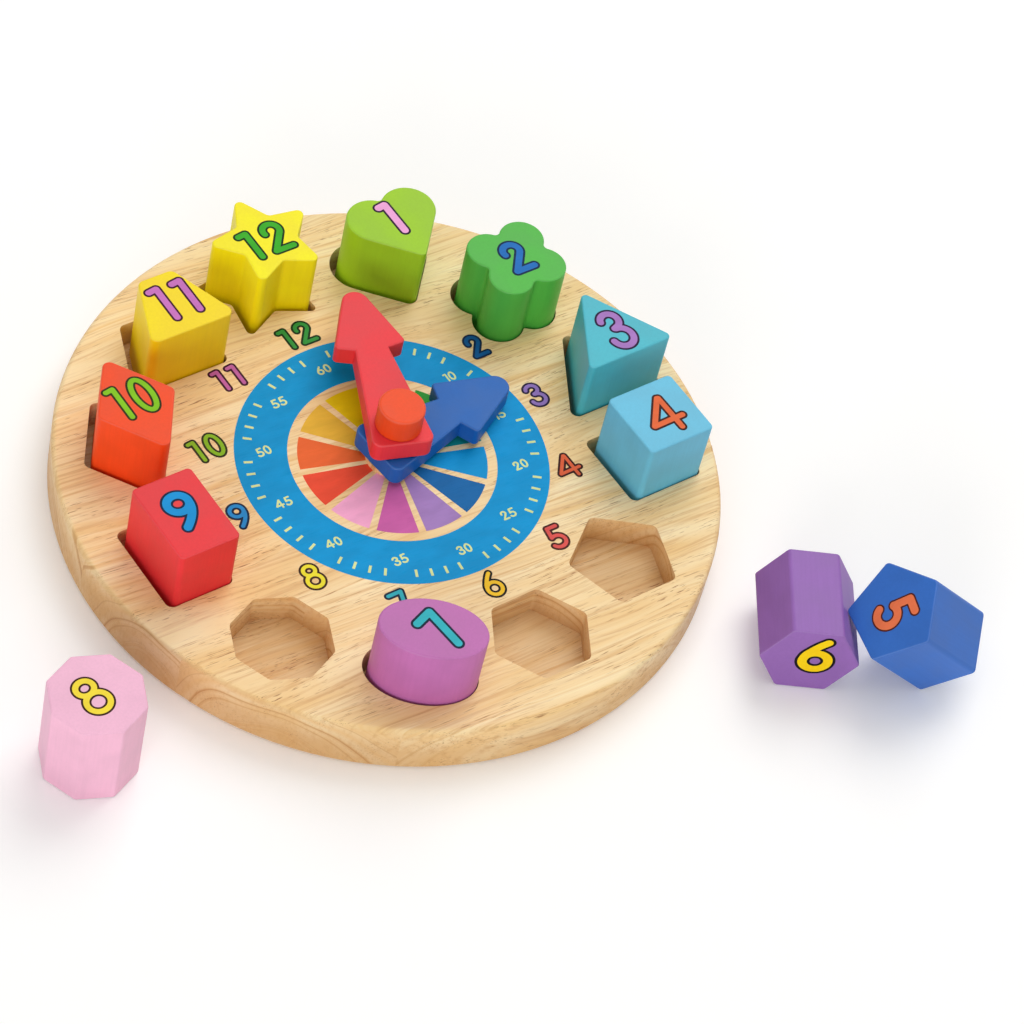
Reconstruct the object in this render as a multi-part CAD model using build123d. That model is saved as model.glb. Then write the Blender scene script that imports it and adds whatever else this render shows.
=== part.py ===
from build123d import *
from functools import partial
import math
import os

# Teaching clock: a round shape-sorting board with two turning hands and
# twelve numbered blocks.  The board lies on its underside.  The origin is the
# centre of that underside, +Z points up, +Y points to 12 o'clock and +X to
# 3 o'clock.  Sizes are in mm, clock angles in degrees clockwise from 12.

os.makedirs("parts", exist_ok=True)

# ------------------------------------------------------------------ the board
BOARD_DIAMETER = 285.0
BOARD_THICKNESS = 25.0
BOARD_TOP_ROUND = 2.3
BOARD_BOTTOM_ROUND = 2.3
# The board is glued from five staves that run from 9 to 3 o'clock.  The middle
# stave carries the pivot; the outer two are set by their width at the rim.
PIVOT_STAVE_BELOW = 50.0
PIVOT_STAVE_ABOVE = 12.0
LOWEST_STAVE_WIDTH = 20.5
HIGHEST_STAVE_WIDTH = 62.5

# ------------------------------------------------- the numbered shape blocks
BLOCK_HEIGHT = 44.0
BLOCK_EDGE_ROUND = 0.8
POCKET_DEPTH = 14.0
POCKET_CORNER_ROUND = 3.2
STAR_POCKET_ROUND = 2.2

STAR_TIP_RADIUS = 26.7
STAR_VALLEY_RADIUS = 14.0
STAR_CORNER_ROUND = 2.6
HEART_WIDTH = 42.4
HEART_LOBE_RADIUS = 12.2
HEART_DROP = 27.5
FLOWER_LOBE_OFFSET = 8.6
FLOWER_LOBE_RADIUS = 10.0
TRIANGLE_RADIUS = 26.2
SQUARE_SIDE = 33.0
PENTAGON_RADIUS = 22.5
HEXAGON_RADIUS = 21.5
OVAL_LONG_RADIUS = 22.5
OVAL_SHORT_RADIUS = 14.9
OVAL_TURN = -39.0
OCTAGON_RADIUS = 20.6
RECTANGLE_WIDTH = 28.0
RECTANGLE_LENGTH = 40.0
RHOMBUS_WIDTH = 37.2
RHOMBUS_LENGTH = 54.0
RHOMBUS_CORNER_ROUND = 3.2
TRAPEZOID_TOP = 16.8
TRAPEZOID_BASE = 42.4
TRAPEZOID_LENGTH = 32.8
TRAPEZOID_CORNER_ROUND = 3.4
CORNER_ROUND = 2.2
VALLEY_ROUND = 2.4

# ------------------------------------------------------- the peg and the hands
SHANK_RADIUS = 5.0
SHANK_SEAT_DEPTH = 15.0
GLUE_LINE = 0.03
HEAD_RADIUS = 10.0
HEAD_HEIGHT = 11.5
HEAD_ROUND = 1.2
HEAD_PLAY = 0.3
TURNING_FIT = 0.08
SPACER_RADIUS = 11.0
SPACER_THICKNESS = 2.5
HAND_WASHER_RADIUS = 9.5
HAND_WASHER_THICKNESS = 0.5
HAND_THICKNESS = 9.5
HAND_EDGE_ROUND = 0.9
HAND_TAIL_ROUND = 4.0
HAND_TIP_ROUND = 6.0
HAND_BARB_ROUND = 2.0

MINUTE_ANGLE = 17.8
MINUTE_TIP_INSIDE_RIM = 67.3
MINUTE_HEAD_LENGTH = 31.2
MINUTE_HEAD_SLANT = 1.8
MINUTE_TAIL = 11.2
MINUTE_TAIL_WIDTH = 27.6
MINUTE_NECK_WIDTH = 14.0
MINUTE_BARB_WIDTH = 30.5

HOUR_ANGLE = 84.0
HOUR_TIP_INSIDE_RIM = 80.4
HOUR_HEAD_LENGTH = 29.9
HOUR_HEAD_SLANT = 2.4
HOUR_TAIL = 11.0
HOUR_TAIL_WIDTH = 30.2
HOUR_NECK_WIDTH = 14.3
HOUR_BARB_WIDTH = 31.0

# ----------------------------- the three blocks that lie beside the board
OCTAGON_ANGLE = -108.8
OCTAGON_OUTSIDE_RIM = 48.4
HEXAGON_ANGLE = 142.4
HEXAGON_OUTSIDE_RIM = 45.0
HEXAGON_HEADING = -124.3
PENTAGON_HEADING = 165.9
PENTAGON_LEAN = 44.8
PENTAGON_FORWARD = 5.4
LEAN_GAP = 0.05
START_DISTANCE = 120.0

# --------------------------------------------------------- values that follow
BOARD_RADIUS = BOARD_DIAMETER / 2
POCKET_FLOOR = BOARD_THICKNESS - POCKET_DEPTH
SPACER_TOP = BOARD_THICKNESS + SPACER_THICKNESS
HOUR_TOP = SPACER_TOP + HAND_THICKNESS
WASHER_TOP = HOUR_TOP + HAND_WASHER_THICKNESS
MINUTE_TOP = WASHER_TOP + HAND_THICKNESS
HEAD_UNDERSIDE = MINUTE_TOP + HEAD_PLAY


def clock_point(angle, radius):
    """Point at a clock angle (degrees clockwise from 12) and a radius."""
    turn = math.radians(angle)
    return (radius * math.sin(turn), radius * math.cos(turn))


# Every outline below is a block's own, or that of its pocket where it is grown by
# the pocket's clearance.
def polygon(points, grow, block_corner=CORNER_ROUND, pocket_corner=POCKET_CORNER_ROUND):
    """Closed outline through the points, or outside them by an amount, with rounded corners."""
    outline = Polygon(*points, align=None)
    if grow:
        outline = offset(outline, grow, kind=Kind.INTERSECTION)
    return fillet(outline.vertices(), pocket_corner if grow else block_corner)


def regular(radius, sides, first_angle=0.0, grow=0.0):
    """Regular polygon with its first corner at a clock angle."""
    step = 360.0 / sides
    return polygon([clock_point(first_angle + step * k, radius) for k in range(sides)], grow)


def box_outline(width, length, grow=0.0):
    """Upright rectangle about the origin."""
    w, h = width / 2, length / 2
    return polygon([(-w, -h), (w, -h), (w, h), (-w, h)], grow)


def star(grow=0.0):
    """Five-pointed star with one point up."""
    radii = (STAR_TIP_RADIUS, STAR_VALLEY_RADIUS) * 5
    points = [clock_point(36.0 * k, r) for k, r in enumerate(radii)]
    return polygon(points, grow, STAR_CORNER_ROUND, STAR_POCKET_ROUND)


def lobed(outline, grow):
    """A round outline, moved outwards by an amount."""
    return offset(outline, grow, kind=Kind.ARC) if grow else outline


def heart(grow=0.0):
    """Two round lobes over a point; the origin lies between the lobe centres."""
    a = HEART_WIDTH / 2 - HEART_LOBE_RADIUS
    reach = math.hypot(a, HEART_DROP)
    turn = math.atan2(-HEART_DROP, -a) + math.acos(HEART_LOBE_RADIUS / reach)
    tx = a + HEART_LOBE_RADIUS * math.cos(turn)
    ty = HEART_LOBE_RADIUS * math.sin(turn)
    outline = Polygon((0, -HEART_DROP), (tx, ty), (a, 0), (-a, 0), (-tx, ty), align=None)
    for x in (-a, a):
        outline += Pos(x, 0) * Circle(HEART_LOBE_RADIUS)
    middle = [v for v in outline.vertices() if abs(v.X) < 0.01]
    tip = min(middle, key=lambda v: v.Y)
    outline = fillet(tip, CORNER_ROUND)
    notch = max((v for v in outline.vertices() if abs(v.X) < 0.01), key=lambda v: v.Y)
    return lobed(fillet(notch, VALLEY_ROUND), grow)


def flower(grow=0.0):
    """Four round lobes on the diagonals."""
    d = FLOWER_LOBE_OFFSET
    outline = Rectangle(2 * d, 2 * d)
    for x, y in ((d, d), (d, -d), (-d, -d), (-d, d)):
        outline += Pos(x, y) * Circle(FLOWER_LOBE_RADIUS)
    valleys = [v for v in outline.vertices() if min(abs(v.X), abs(v.Y)) < 0.01]
    return lobed(fillet(valleys, VALLEY_ROUND), grow)


def rhombus(grow=0.0):
    """Upright rhombus."""
    w, h = RHOMBUS_WIDTH / 2, RHOMBUS_LENGTH / 2
    return polygon([(0, -h), (w, 0), (0, h), (-w, 0)], grow, RHOMBUS_CORNER_ROUND)


def trapezoid(grow=0.0):
    """Trapezoid with the short side up."""
    h = TRAPEZOID_LENGTH / 2
    points = [(-TRAPEZOID_BASE / 2, -h), (TRAPEZOID_BASE / 2, -h),
              (TRAPEZOID_TOP / 2, h), (-TRAPEZOID_TOP / 2, h)]
    return polygon(points, grow, TRAPEZOID_CORNER_ROUND)


def oval(grow=0.0):
    """Ellipse turned to lie along the rim."""
    return Rot(0, 0, OVAL_TURN) * Ellipse(OVAL_LONG_RADIUS + grow, OVAL_SHORT_RADIUS + grow)


# Node name: outline, clock angle of the pocket, distance of its centre inside the rim,
# clearance round the block, and how far the seated block is pushed along X and Y.
BLOCKS = {
    "block_01_heart": (heart, 30.3, 29.0, 1.9, (1.2, -1.0)),
    "block_02_flower": (flower, 60.78, 35.06, 1.6, (0.6, -0.8)),
    "block_03_triangle": (partial(regular, TRIANGLE_RADIUS, 3), 91.35, 34.7, 1.6, (0.8, -0.8)),
    "block_04_square": (partial(box_outline, SQUARE_SIDE, SQUARE_SIDE), 116.23, 32.6, 2.0, (1.2, -1.3)),
    "block_05_pentagon": (partial(regular, PENTAGON_RADIUS, 5), 146.8, 35.7, 1.4, None),
    "block_06_hexagon": (partial(regular, HEXAGON_RADIUS, 6, 30.0), 177.5, 35.8, 1.4, None),
    "block_07_oval": (oval, 207.0, 29.8, 1.4, (0.7, -0.7)),
    "block_08_octagon": (partial(regular, OCTAGON_RADIUS, 8), 236.8, 32.6, 1.4, None),
    "block_09_rectangle": (partial(box_outline, RECTANGLE_WIDTH, RECTANGLE_LENGTH),
                           267.25, 32.8, 1.7, (1.0, -1.2)),
    "block_10_rhombus": (rhombus, 298.6, 31.3, 1.7, (0.9, -0.9)),
    "block_11_trapezoid": (trapezoid, 329.44, 32.37, 2.15, (2.35, -1.4)),
    "block_12_star": (star, 359.78, 34.5, 1.8, (1.3, -0.1)),
}


def raised(outline, height):
    """The outline extruded upwards from z = 0."""
    return extrude(outline, height, dir=(0, 0, 1))


def block(outline):
    """Upright block on z = 0 with eased top and bottom edges."""
    solid = raised(outline, BLOCK_HEIGHT)
    levels = solid.edges().group_by(Axis.Z)
    return fillet(levels[0] + levels[-1], BLOCK_EDGE_ROUND)


def on_floor(shape):
    """The shape raised or lowered until its lowest point is at z = 0."""
    return Pos(0, 0, -shape.bounding_box().min.Z) * shape


def laid(shape, heading, lean):
    """A block turned so that its numbered end faces a heading and leans up by an angle."""
    turn, tilt = math.radians(heading), math.radians(lean)
    normal = Vector(math.cos(turn) * math.cos(tilt), math.sin(turn) * math.cos(tilt), math.sin(tilt))
    side = Vector(-math.sin(turn), math.cos(turn), 0)
    plane = Plane(origin=(0, 0, 0), x_dir=side, z_dir=normal)
    return on_floor(plane.location * Pos(0, 0, -BLOCK_HEIGHT / 2) * shape)


def slid_against(shape, target, heading):
    """The shape moved along a floor heading until it almost touches the target."""
    turn = math.radians(heading)
    step = Vector(math.cos(turn), math.sin(turn), 0)
    moved = Pos(*(-START_DISTANCE * step)) * shape
    for _ in range(40):
        moved = Pos(*((moved.distance_to(target) - LEAN_GAP) * step)) * moved
    return moved


def hand_outline(reach, head_length, head_slant, barb_width, tail, tail_width, neck_width):
    """Arrow-shaped hand that points along +Y and turns about the origin.

    The head's base slants from the barbs down to the neck by the head slant.
    """
    inside = reach - head_length + HAND_BARB_ROUND
    shaft = Polygon((-tail_width / 2, -tail), (tail_width / 2, -tail),
                    (neck_width / 2, inside), (-neck_width / 2, inside), align=None)
    shaft = fillet(shaft.vertices().group_by(Axis.Y)[0], HAND_TAIL_ROUND)
    barb_x = barb_width / 2 - HAND_BARB_ROUND
    circles = [Pos(0, reach - HAND_TIP_ROUND) * Circle(HAND_TIP_ROUND)]
    circles += [Pos(x, inside) * Circle(HAND_BARB_ROUND) for x in (-barb_x, barb_x)]
    base = reach - head_length - head_slant
    neck = Line((-neck_width / 2, base), (neck_width / 2, base))
    head = make_hull([edge for circle in circles for edge in circle.edges()] + [neck.edge()])
    return shaft + head


def hand(outline, angle, bottom):
    """Solid hand with a turning bore, set to a clock angle with its underside at a height."""
    solid = raised(outline, HAND_THICKNESS)
    levels = solid.edges().group_by(Axis.Z)
    solid = fillet(levels[0] + levels[-1], HAND_EDGE_ROUND)
    solid -= Cylinder(SHANK_RADIUS + TURNING_FIT, 4 * HAND_THICKNESS)
    return Pos(0, 0, bottom) * Rot(0, 0, -angle) * solid


def washer(radius, thickness, bottom):
    """Flat ring round the shank."""
    ring = Circle(radius) - Circle(SHANK_RADIUS + TURNING_FIT)
    return Pos(0, 0, bottom) * raised(ring, thickness)


def turned_board():
    """The whole glued board, before it is told apart into its staves."""
    disc = Pos(0, 0, BOARD_THICKNESS / 2) * Cylinder(BOARD_RADIUS, BOARD_THICKNESS)
    rims = disc.edges().sort_by(Axis.Z)
    disc = fillet(rims[-1], BOARD_TOP_ROUND)
    disc = fillet(disc.edges().sort_by(Axis.Z)[0], BOARD_BOTTOM_ROUND)
    for outline, angle, inset, clearance, _ in BLOCKS.values():
        x, y = clock_point(angle, BOARD_RADIUS - inset)
        disc -= Pos(x, y, POCKET_FLOOR) * raised(outline(grow=clearance), POCKET_DEPTH + 1)
    bore = Cylinder(SHANK_RADIUS + GLUE_LINE, SHANK_SEAT_DEPTH + 1,
                    align=(Align.CENTER, Align.CENTER, Align.MIN))
    return disc - Pos(0, 0, BOARD_THICKNESS - SHANK_SEAT_DEPTH) * bore


def staves(board):
    """The board cut along its glue joints, first stave at 6 o'clock."""
    joints = (-BOARD_RADIUS, LOWEST_STAVE_WIDTH - BOARD_RADIUS, -PIVOT_STAVE_BELOW,
              PIVOT_STAVE_ABOVE, BOARD_RADIUS - HIGHEST_STAVE_WIDTH, BOARD_RADIUS)
    cut = []
    for low, high in zip(joints, joints[1:]):
        strip = Box(2 * BOARD_DIAMETER, high - low, 4 * BOARD_THICKNESS)
        cut.append(board & (Pos(0, (low + high) / 2, 0) * strip))
    return cut


def centre_peg():
    """Headed peg: the shank is glued into the board, the head holds the hands on."""
    foot = BOARD_THICKNESS - SHANK_SEAT_DEPTH
    shank = Cylinder(SHANK_RADIUS, HEAD_UNDERSIDE - foot + 1,
                     align=(Align.CENTER, Align.CENTER, Align.MIN))
    head = Cylinder(HEAD_RADIUS, HEAD_HEIGHT, align=(Align.CENTER, Align.CENTER, Align.MIN))
    head = fillet(head.edges().sort_by(Axis.Z)[-1], HEAD_ROUND)
    return Pos(0, 0, foot) * shank + Pos(0, 0, HEAD_UNDERSIDE) * head


pieces = {}
for number, stave in enumerate(staves(turned_board()), start=1):
    pieces[f"board_stave_{number}"] = stave

pieces["centre_peg"] = centre_peg()
pieces["spacer_washer"] = washer(SPACER_RADIUS, SPACER_THICKNESS, BOARD_THICKNESS)
pieces["hand_washer"] = washer(HAND_WASHER_RADIUS, HAND_WASHER_THICKNESS, HOUR_TOP)
pieces["hour_hand"] = hand(
    hand_outline(BOARD_RADIUS - HOUR_TIP_INSIDE_RIM, HOUR_HEAD_LENGTH, HOUR_HEAD_SLANT,
                 HOUR_BARB_WIDTH, HOUR_TAIL, HOUR_TAIL_WIDTH, HOUR_NECK_WIDTH), HOUR_ANGLE, SPACER_TOP)
pieces["minute_hand"] = hand(
    hand_outline(BOARD_RADIUS - MINUTE_TIP_INSIDE_RIM, MINUTE_HEAD_LENGTH, MINUTE_HEAD_SLANT,
                 MINUTE_BARB_WIDTH, MINUTE_TAIL, MINUTE_TAIL_WIDTH, MINUTE_NECK_WIDTH), MINUTE_ANGLE, WASHER_TOP)

for name, (outline, angle, inset, _, pushed) in BLOCKS.items():
    if pushed is None:
        continue
    x, y = clock_point(angle, BOARD_RADIUS - inset)
    pieces[name] = Pos(x + pushed[0], y + pushed[1], POCKET_FLOOR) * block(outline())

octagon_at = clock_point(OCTAGON_ANGLE, BOARD_RADIUS + OCTAGON_OUTSIDE_RIM)
pieces["block_08_octagon"] = Pos(*octagon_at) * block(BLOCKS["block_08_octagon"][0]())

hexagon_at = clock_point(HEXAGON_ANGLE, BOARD_RADIUS + HEXAGON_OUTSIDE_RIM)
hexagon = laid(block(BLOCKS["block_06_hexagon"][0]()), HEXAGON_HEADING, 0.0)
pieces["block_06_hexagon"] = Pos(*hexagon_at) * hexagon

forward = clock_point(90.0 - HEXAGON_HEADING, PENTAGON_FORWARD)
pentagon = laid(block(BLOCKS["block_05_pentagon"][0]()), PENTAGON_HEADING, PENTAGON_LEAN)
pieces["block_05_pentagon"] = slid_against(
    Pos(*hexagon_at) * Pos(*forward) * pentagon, pieces["block_06_hexagon"],
    HEXAGON_HEADING - 90.0)

for name in sorted(pieces):
    export_step(pieces[name], f"parts/{name}.step")
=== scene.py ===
"""A wooden teaching clock: round sorting board, two hands, twelve numbered blocks.

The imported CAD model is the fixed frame.  This script gives every CAD node its
finish, lays the printed dial and numerals on the board and the blocks as thin
films of ink, and sets up a plain studio.  Lengths in the classes are in
millimetres and clock angles in degrees clockwise from 12.
"""

from __future__ import annotations

import logging
import math
from collections.abc import Iterable, Mapping, Sequence
from dataclasses import dataclass, field
from enum import Enum
from typing import Any, Self

import bmesh
import bpy
import numpy as np
from mathutils import Matrix, Vector


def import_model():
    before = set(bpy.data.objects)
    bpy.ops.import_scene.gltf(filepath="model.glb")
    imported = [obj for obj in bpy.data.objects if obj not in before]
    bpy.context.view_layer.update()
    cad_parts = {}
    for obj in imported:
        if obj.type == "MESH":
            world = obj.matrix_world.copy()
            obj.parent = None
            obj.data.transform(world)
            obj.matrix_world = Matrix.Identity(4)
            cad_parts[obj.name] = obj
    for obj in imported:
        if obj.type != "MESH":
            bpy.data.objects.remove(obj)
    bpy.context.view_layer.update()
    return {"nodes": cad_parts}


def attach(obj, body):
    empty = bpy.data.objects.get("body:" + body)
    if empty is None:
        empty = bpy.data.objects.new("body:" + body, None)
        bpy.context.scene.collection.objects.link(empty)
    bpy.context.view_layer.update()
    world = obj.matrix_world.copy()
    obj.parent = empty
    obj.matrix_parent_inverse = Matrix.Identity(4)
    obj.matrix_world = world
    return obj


LOG = logging.getLogger("teaching_clock")
MM = 0.001

# Underside and top of a printed film over its surface, in mm: the lower film lies half
# in the surface, and the upper one starts inside the lower.
FILM = 0.05
LOWER_FILM = (-FILM, FILM)
UPPER_FILM = (0.5 * FILM, 1.8 * FILM)
WELD = 0.002  # corners of a film closer than this, in mm, become one

Colour = tuple[float, float, float, float]
Triple = tuple[float, float, float]
Point = tuple[float, float]
Loop = np.ndarray
Tree = bpy.types.NodeTree
Node = bpy.types.Node
Nodes = Mapping[str, bpy.types.Object]


# --- colour, nodes
def linear(hex_code: str) -> Colour:
    """Turn an sRGB hex colour into linear light.

    Args:
        hex_code: colour such as "#E9C07A".

    Returns:
        Linear red, green, blue and an alpha of 1.
    """
    channels = (int(hex_code[i : i + 2], 16) / 255 for i in (1, 3, 5))
    red, green, blue = (c / 12.92 if c <= 0.04045 else ((c + 0.055) / 1.055) ** 2.4 for c in channels)
    return (red, green, blue, 1.0)


def add_node(
    tree: Tree, kind: str, inputs: Mapping[str | int, Any] | None = None, **settings: Any
) -> Node:
    """Add one shader node with its settings, values and links.

    Args:
        tree: node tree that gets the node.
        kind: Blender's type name, without "ShaderNode".
        inputs: socket name or index, with its value, the socket that feeds it, or
            the node whose live output feeds it.
        **settings: properties of the node itself.

    Returns:
        The new node.
    """
    node = tree.nodes.new(f"ShaderNode{kind}")
    for name, value in settings.items():
        setattr(node, name, value)
    for key, value in (inputs or {}).items():
        if isinstance(value, Node):
            value = next(socket for socket in value.outputs if socket.enabled)
        if isinstance(value, bpy.types.NodeSocket):
            tree.links.new(value, node.inputs[key])
        else:
            node.inputs[key].default_value = value
    return node


def blank_material(name: str) -> tuple[bpy.types.Material, Tree]:
    """Make a node material with nothing in its tree.

    Args:
        name: the material's name.

    Returns:
        The material and its tree.
    """
    material = bpy.data.materials.new(name)
    material.use_nodes = True
    material.node_tree.nodes.clear()
    return material, material.node_tree


def millimetres(tree: Tree, turn: float = 0.0, start: Point = (0.0, 0.0)) -> Node:
    """Coordinates on the piece in millimetres.

    Args:
        tree: the nodes' tree.
        turn: turn about the vertical in degrees.
        start: shift in mm that gives each piece its own stretch of the pattern.

    Returns:
        The node that gives the coordinates.
    """
    inputs = {
        "Vector": add_node(tree, "TexCoord").outputs["Object"],
        "Location": (start[0], start[1], start[0] - start[1]),
        "Rotation": (0.0, 0.0, math.radians(turn)),
        "Scale": (1 / MM, 1 / MM, 1 / MM),
    }
    return add_node(tree, "Mapping", inputs)


def mottle(
    tree: Tree, coords: Node, size: Triple, *, detail: float, span: Point, share: Point = (0.0, 1.0)
) -> Node:
    """Uneven patches of a real size, as the share of one tone over another.

    Args:
        tree: the nodes' tree.
        coords: coordinates in mm.
        size: length of a patch along x, y and z in mm.
        detail: finer layers on top of the patches.
        span: levels of the pattern between which the share goes from end to end.
        share: the share at the two ends.

    Returns:
        The node that gives the share.
    """
    stretched = add_node(tree, "Mapping", {"Vector": coords, "Scale": tuple(1 / s for s in size)})
    lumps = add_node(tree, "TexNoise", {"Vector": stretched, "Scale": 1.0, "Detail": detail})
    levels = {"Value": lumps, "From Min": span[0], "From Max": span[1]}
    ends = {"To Min": share[0], "To Max": share[1]}
    return add_node(tree, "MapRange", levels | ends, interpolation_type="SMOOTHSTEP")


def facing(tree: Tree, axis: Triple) -> Node:
    """How squarely the surface faces along an axis, from 0 to 1.

    Args:
        tree: the nodes' tree.
        axis: the axis, either way along it.

    Returns:
        The node that gives the share.
    """
    normal = add_node(tree, "TexCoord").outputs["Normal"]
    along = add_node(tree, "VectorMath", {0: normal, 1: axis}, operation="DOT_PRODUCT")
    return add_node(tree, "Math", {0: along}, operation="ABSOLUTE")


def shade(hex_code: str, factor: float) -> Colour:
    """A hex colour made lighter or darker by a factor in linear light."""
    red, green, blue, _ = linear(hex_code)
    return (min(red * factor, 1.0), min(green * factor, 1.0), min(blue * factor, 1.0), 1.0)


def lay_tones(tree: Tree, base: Colour, layers: Iterable[tuple[Node, Colour]]) -> Node:
    """Lay tones over a base tone, one after another.

    Args:
        tree: the nodes' tree.
        base: the base tone.
        layers: share of each tone and the tone itself, the lowest first.

    Returns:
        The node that gives the colour.
    """
    colour: Any = base
    for share, tone in layers:
        # A mix of colours takes its share at socket 0 and its two colours at 6 and 7.
        colour = add_node(tree, "Mix", {0: share, 6: colour, 7: tone}, data_type="RGBA")
    return colour


# --- finishes
@dataclass(frozen=True)
class Rubberwood:
    """Sanded rubberwood under clear satin lacquer.

    Pale honey wood with soft growth bands, brown streaks along the grain and brown
    open vessels that crowd together in places.  The end grain shows little but the
    bands.  It drinks more of the lacquer and takes on a deeper tone, and the routed
    pockets and the lower walls take on the same deeper tone as painted shade.  The
    lacquer gives a dull, even sheen.  Real vessels are 0.2 mm wide; they are drawn
    0.42 mm wide so that they show.

    Attributes:
        start: shift of the grain, so that each piece has its own stretch of it.
        pith: place of the log's pith across and below the piece.
        warmth: most share of amber in the warm patches.
        patch, crowd, fibre, pore: length along the grain, width and height of a warm
            patch, a crowd of vessels, a streak of fibres and a vessel.
        bend, sway: size of the grain's bends and how far they reach sideways.
        soak_heights: heights at which the painted shade in the pockets and on the
        lower walls starts and is full.
    """

    name: str
    start: Point
    pith: Point
    warmth: float = 0.5
    pale: str = "#FFE8B8"
    honey: str = "#F8D499"
    amber: str = "#EABB72"
    brown: str = "#C98D52"
    soaked: str = "#BE8850"
    vessel: str = "#8C4A1E"
    ring_width: float = 9.0
    grain_turn: float = 3.0
    patch: Triple = (95.0, 17.0, 17.0)
    crowd: Triple = (55.0, 9.0, 9.0)
    fibre: Triple = (60.0, 1.3, 3.0)
    pore: Triple = (9.5, 0.42, 0.42)
    bend: Triple = (110.0, 38.0, 38.0)
    sway: float = 16.0
    soak_heights: Point = (24.0, 11.0)
    gloss: float = 0.25

    def material(self) -> bpy.types.Material:
        """Build the material.

        Returns:
            The material, under the finish's own name.
        """
        made, tree = blank_material(self.name)
        grain = self._grain(tree)
        ring = self._ring(tree, grain)
        end_grain = self._end_grain(tree)
        # Streaks and vessels keep 55 % of their strength on end grain.
        along = add_node(tree, "Math", {0: end_grain, 1: -0.45, 2: 1.0}, operation="MULTIPLY_ADD")
        fibres = mottle(tree, grain, self.fibre, detail=4.0, span=(0.44, 0.76), share=(0.0, 0.5))
        streaks = add_node(tree, "Math", {0: fibres, 1: along}, operation="MULTIPLY")
        vessels = self._vessels(tree, grain, along)
        bands = self._bands(tree, ring, count=1.0, span=(0.32, 0.68), most=1.0)
        late = self._bands(tree, ring, count=2.3, span=(0.54, 0.72), most=0.55)
        warm = mottle(tree, grain, self.patch, detail=3.0, span=(0.38, 0.68), share=(0.0, self.warmth))
        layers = (
            (bands, self.honey),
            (late, self.amber),
            (warm, self.amber),
            (streaks, self.brown),
            # Deeper tone: lacquer in the end grain, and painted shade in the pockets and on the lower
            # walls.
            (self._soak(tree, end_grain, late), self.soaked),
            (vessels, self.vessel),
        )
        colour = lay_tones(tree, linear(self.pale), ((share, linear(tone)) for share, tone in layers))

        # The vessels are sunk 1.6 times as deep as the streaks stand up.
        height = add_node(tree, "Math", {0: vessels, 1: -1.6, 2: streaks}, operation="MULTIPLY_ADD")
        bump = add_node(tree, "Bump", {"Strength": 0.35, "Distance": 0.12 * MM, "Height": height})
        sheen = mottle(tree, grain, self.fibre, detail=4.0, span=(0.3, 0.8), share=(0.42, 0.56))
        skin = {"Base Color": colour, "Roughness": sheen, "Normal": bump}
        coat = {"Specular IOR Level": self.gloss, "IOR": 1.5}
        shader = add_node(tree, "BsdfPrincipled", skin | coat)
        add_node(tree, "OutputMaterial", {"Surface": shader})
        return made

    def _grain(self, tree: Tree) -> Node:
        """Let the grain wander a little from a straight line.

        Args:
            tree: the nodes' tree.

        Returns:
            The node that gives coordinates in mm along the grain.
        """
        even = millimetres(tree, self.grain_turn, self.start)
        slow = add_node(tree, "Mapping", {"Vector": even, "Scale": tuple(1 / s for s in self.bend)})
        wander = add_node(tree, "TexNoise", {"Vector": slow, "Scale": 1.0, "Detail": 1.0})
        swayed = {0: wander.outputs["Color"], 1: (0.0, self.sway, self.sway), 2: even}
        return add_node(tree, "VectorMath", swayed, operation="MULTIPLY_ADD")

    def _end_grain(self, tree: Tree) -> Node:
        """Share of end grain: full where a wall faces along the grain."""
        levels = {"Value": facing(tree, (1.0, 0.0, 0.0)), "From Min": 0.2, "From Max": 0.75}
        return add_node(tree, "MapRange", levels, interpolation_type="SMOOTHSTEP")

    def _vessels(self, tree: Tree, grain: Node, along: Node) -> Node:
        """Open vessels, which crowd together in places.

        Args:
            tree: the nodes' tree.
            grain: coordinates in mm along the grain.
            along: strength of what runs along the grain.

        Returns:
            The node that gives the vessels' share.
        """
        crowds = mottle(tree, grain, self.crowd, detail=2.0, span=(0.40, 0.64), share=(0.08, 0.8))
        lines = mottle(tree, grain, self.pore, detail=1.0, span=(0.60, 0.73))
        crowded = add_node(tree, "Math", {0: crowds, 1: lines}, operation="MULTIPLY")
        return add_node(tree, "Math", {0: crowded, 1: along}, operation="MULTIPLY")

    def _soak(self, tree: Tree, end_grain: Node, late: Node) -> Node:
        """Where end grain has drunk more lacquer, and painted shade low in the pockets and on the lower
        walls.

        Args:
            tree: the nodes' tree.
            end_grain: share of end grain.
            late: share of the late growth bands, the thirstiest part of the end grain.

        Returns:
            The node that gives the share of the deeper tone: lacquer in the end grain and painted shade.
        """
        depth = add_node(tree, "SeparateXYZ", {0: add_node(tree, "TexCoord").outputs["Object"]})
        clean, full = self.soak_heights
        levels = {"Value": depth.outputs["Z"], "From Min": clean * MM, "From Max": full * MM}
        # Painted shade: the deeper tone grows from the board's top down into the pockets and down the
        # walls, up to 0.36.
        low = add_node(tree, "MapRange", levels | {"To Max": 0.36})
        # All end grain takes 0.26 of the tone, its late bands 0.7 of their share on top.
        thirst = add_node(tree, "Math", {0: late, 1: 0.7, 2: 0.26}, operation="MULTIPLY_ADD")
        return add_node(tree, "Math", {0: end_grain, 1: thirst, 2: low}, operation="MULTIPLY_ADD")

    def _ring(self, tree: Tree, grain: Node) -> Node:
        """Distance from the pith of the log that the stave was sawn from.

        Args:
            tree: the nodes' tree.
            grain: coordinates in mm along the grain.

        Returns:
            The node that gives the distance in growth bands.
        """
        across_grain = {0: grain, 1: (0.0, 1.0, 1.0), 2: (0.0, -self.pith[0], -self.pith[1])}
        across = add_node(tree, "VectorMath", across_grain, operation="MULTIPLY_ADD")
        radius = add_node(tree, "VectorMath", {0: across}, operation="LENGTH")
        return add_node(tree, "Math", {0: radius, 1: 1 / self.ring_width}, operation="MULTIPLY")

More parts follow.
